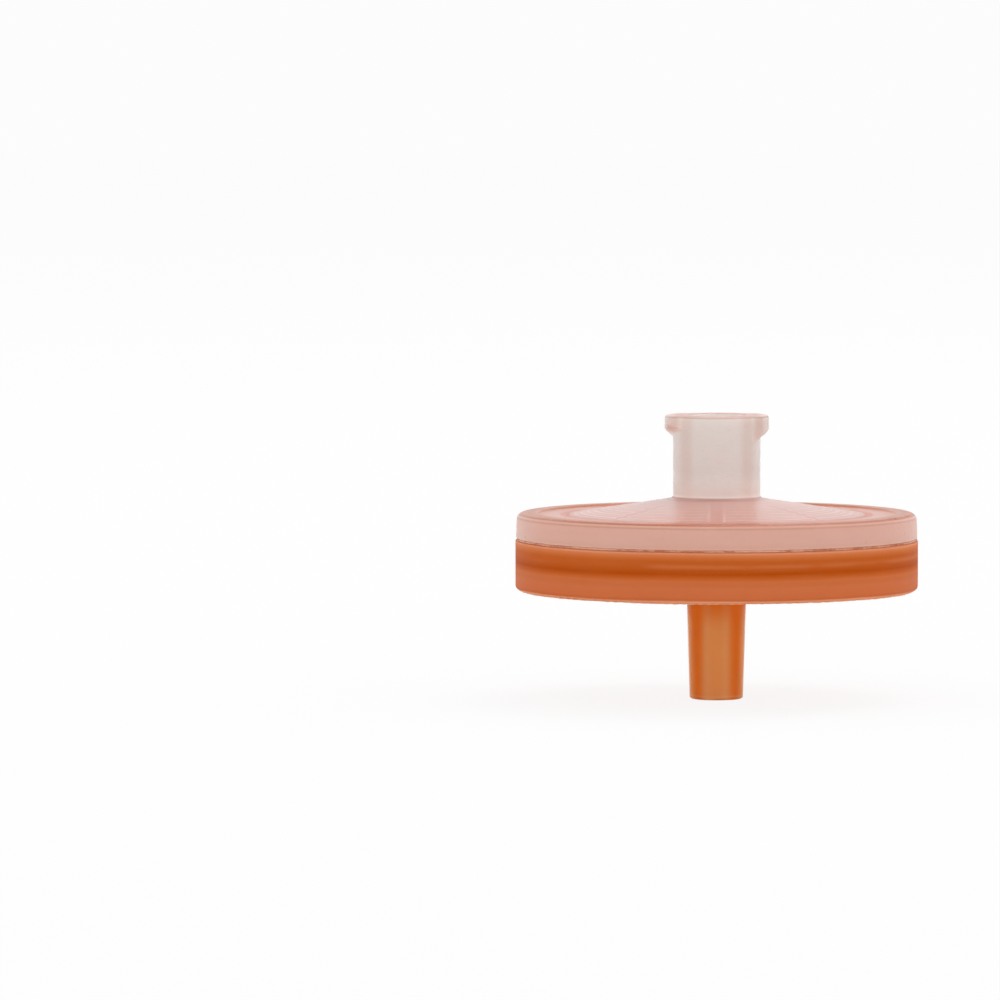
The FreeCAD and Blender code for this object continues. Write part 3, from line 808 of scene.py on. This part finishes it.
# Thin plastic squeezed out of a joint: pale where it is thin, with specks.
flash = {
    "wound": (9.0, 2.0, 2.0),
    "grain": (1.0, 4.0, 0.7),
    "edges": (0.38, 0.62),  # from the thick tint to the thin one
    "roughness": 0.5,
    "ior": 1.49,
}


def flashPlastic(name, thin, thick):
    g = Graph(name)
    change = g.noise(Spot(g).wound(*flash["wound"]), *flash["grain"])
    colour = g.mix(change.step(*flash["edges"]), thick, thin)
    values = {"Base Color": colour, "Roughness": flash["roughness"], "IOR": flash["ior"]}
    return g.surface(g.principled(values))


# The bead of plastic that the weld pressed out. Each wave is given by its first and last overtone,
# how it fades and its seed.
weld = {
    "turns": 1440,
    "sides": 10,
    "radius": 14.79,  # middle of the bead, in the groove between the halves
    "halfWide": 0.075,
    "halfHigh": 0.065,
    "drift": 0.03,  # how far it wanders in and out
    "climb": 0.02,  # and up and down
    "slowShare": 0.6,  # part that the slow wave has in the drift
    "widthChange": 0.35,
    "heightChange": 0.4,
    "slow": ((3, 40), 0.6, 11),
    "quick": ((60, 220), 0.3, 12),
    "level": ((2, 50), 0.7, 13),
    "height": ((30, 160), 0.3, 14),
    "thin": tone(240, 182, 156),
    "thick": tone(204, 116, 82),
}


def makeWeld(size):
    turns = size["turns"]
    slow, quick = wander(turns, *size["slow"]), wander(turns, *size["quick"])
    both = size["slowShare"] * slow + (1 - size["slowShare"]) * quick
    radius = size["radius"] + size["drift"] * both
    level = form["seam"] + size["climb"] * wander(turns, *size["level"])
    wide = size["halfWide"] * (1 + size["widthChange"] * quick)
    high = size["halfHigh"] * (1 + size["heightChange"] * wander(turns, *size["height"]))
    material = flashPlastic("weldPlastic", size["thin"], size["thick"])
    ringPiece("weldBead", radius, level, wide, high, size["sides"], material)


# The flash along the cup's lower edge, where the two halves of its mould met.
parting = {
    "turns": 1440,
    "sides": 10,
    "radius": 14.54,  # where the cup's rounded lower edge meets its underside
    "lift": 0.02,  # above the underside
    "halfWide": 0.075,
    "halfHigh": 0.06,
    "drift": 0.02,
    "climb": 0.03,
    "widthChange": 0.25,
    "heightChange": 0.45,
    "quick": ((20, 180), 0.3, 21),
    "slow": ((2, 30), 0.7, 22),
    "level": ((3, 24), 0.5, 23),
    "thin": tone(255, 214, 184),
    "thick": tone(248, 168, 124),
}


def makeParting(size):
    turns = size["turns"]
    quick = wander(turns, *size["quick"])
    radius = size["radius"] + size["drift"] * wander(turns, *size["slow"])
    level = form["underside"] + size["lift"] + size["climb"] * wander(turns, *size["level"])
    wide = size["halfWide"] * (1 + size["widthChange"] * quick)
    high = size["halfHigh"] * (1 + size["heightChange"] * quick)
    material = flashPlastic("partingPlastic", size["thin"], size["thick"])
    ringPiece("partingLine", radius, level, wide, high, size["sides"], material)


# The skin left round the hole in the socket's floor. Tongues, which reach inwards, and bites, which
# reach outwards, are bell curves over the angle: where each stands and how wide it is, in degrees,
# and how far it reaches, in millimetres.
boreSkin = {
    "turns": 720,
    "sides": 14,
    "squareness": 0.6,  # the section's power: 1 gives an ellipse, less gives a squarer one
    "outer": 1.66,  # radii
    "inner": 1.47,
    "tongues": [
        (148, 17, 0.22),
        (118, 9, 0.12),
        (24, 34, 0.24),
        (-38, 20, 0.2),
        (-84, 5, 0.2),
        (196, 26, 0.1),
    ],
    "bites": [(88, 22, 0.16), (-62, 7, 0.1)],
    "least": 0.08,  # width that is left everywhere
    "drift": 0.025,  # how far the inner edge wanders besides
    "edge": ((8, 70), 0.5, 31),
    "halfThick": 0.035,
    "lift": 0.6,  # height of its middle above the socket's floor, in half thicknesses
    "heightChange": 0.3,
    "height": ((5, 60), 0.5, 32),
    "thin": tone(238, 178, 158),
    "thick": tone(222, 148, 126),
}


def makeBoreSkin(size):
    turns = size["turns"]
    angle = np.linspace(0.0, 360.0, turns, endpoint=False)
    inner = np.full(turns, size["inner"])
    for sign, bells in ((-1, size["tongues"]), (1, size["bites"])):
        for middle, spread, reach in bells:
            away = (angle - middle + 180) % 360 - 180
            inner += sign * reach * np.exp(-((away / spread) ** 2))
    ragged = inner + size["drift"] * wander(turns, *size["edge"])
    wide = (size["outer"] - np.minimum(ragged, size["outer"] - size["least"])) / 2
    radius = size["outer"] - wide
    level = np.full(turns, form["boreFloor"] + size["halfThick"] * size["lift"])
    high = size["halfThick"] * (1 + size["heightChange"] * wander(turns, *size["height"]))
    material = flashPlastic("boreSkinPlastic", size["thin"], size["thick"])
    sides, power = size["sides"], size["squareness"]
    ringPiece("boreSkin", radius, level, wide, high, sides, material, power)


makeWeld(weld)
makeParting(parting)
makeBoreSkin(boreSkin)
print("weld bead and flash made")


# Floor, backdrop and light.
studio = {
    "floorSize": 6.0,  # metres
    "white": (1.0, 1.0, 1.0),
    "floorColour": (0.95, 0.95, 0.95),
    "floorGlow": 0.88,  # share of plain white that the camera sees on the floor
    "worldStrength": 0.8,
    "backdrop": 0.975,  # what the camera sees of the world, as bright as the floor
    "keySize": 0.55,  # diameter of the round lamp, metres
    "keyPower": 2.1,  # watts
    "keyPlace": (0.24, 0.29, 0.93),
    "keyAim": (0.0, 0.0, 0.01),
}


def whiteRays(g):
    # 1 for what the camera sees straight, in a reflection or through the plastic
    rays = g.add("ShaderNodeLightPath").socket.node.outputs
    straight, mirrored, through = (
        Wire(g, rays[name]) for name in ("Is Camera Ray", "Is Glossy Ray", "Is Transmission Ray")
    )
    return (straight + mirrored + through).clamped()


def makeFloor(look):
    half = look["floorSize"] / 2
    mesh = bpy.data.meshes.new("floor")
    corners = [(-half, -half, 0.0), (half, -half, 0.0), (half, half, 0.0), (-half, half, 0.0)]
    mesh.from_pydata(corners, [], [(0, 1, 2, 3)])
    floor = bpy.data.objects.new("floor", mesh)
    scene.collection.objects.link(floor)
    g = Graph("floorPaint")
    dull = g.add("ShaderNodeBsdfDiffuse", {}, [look["floorColour"]])
    white = g.add("ShaderNodeEmission", {}, [look["white"], 1.0])
    share = whiteRays(g) * look["floorGlow"]
    mesh.materials.append(g.surface(g.add("ShaderNodeMixShader", {}, [share, dull, white])))


def makeWorld(look):
    world = bpy.data.worlds.new("world")
    scene.world = world
    g = Graph("world", world)
    light = g.add("ShaderNodeBackground", {}, [look["white"], look["worldStrength"]])
    white = g.add("ShaderNodeBackground", {}, [look["white"], look["backdrop"]])
    g.surface(g.add("ShaderNodeMixShader", {}, [whiteRays(g), light, white]))


def makeKey(look):
    data = bpy.data.lights.new("key", "AREA")
    data.shape, data.size, data.energy = "DISK", look["keySize"], look["keyPower"]
    lamp = bpy.data.objects.new("key", data)
    scene.collection.objects.link(lamp)
    lamp.location = look["keyPlace"]
    sight = Vector(look["keyAim"]) - lamp.location
    lamp.rotation_mode = "QUATERNION"
    lamp.rotation_quaternion = sight.to_track_quat("-Z", "Y")


makeFloor(studio)
makeWorld(studio)
makeKey(studio)
print("studio made")
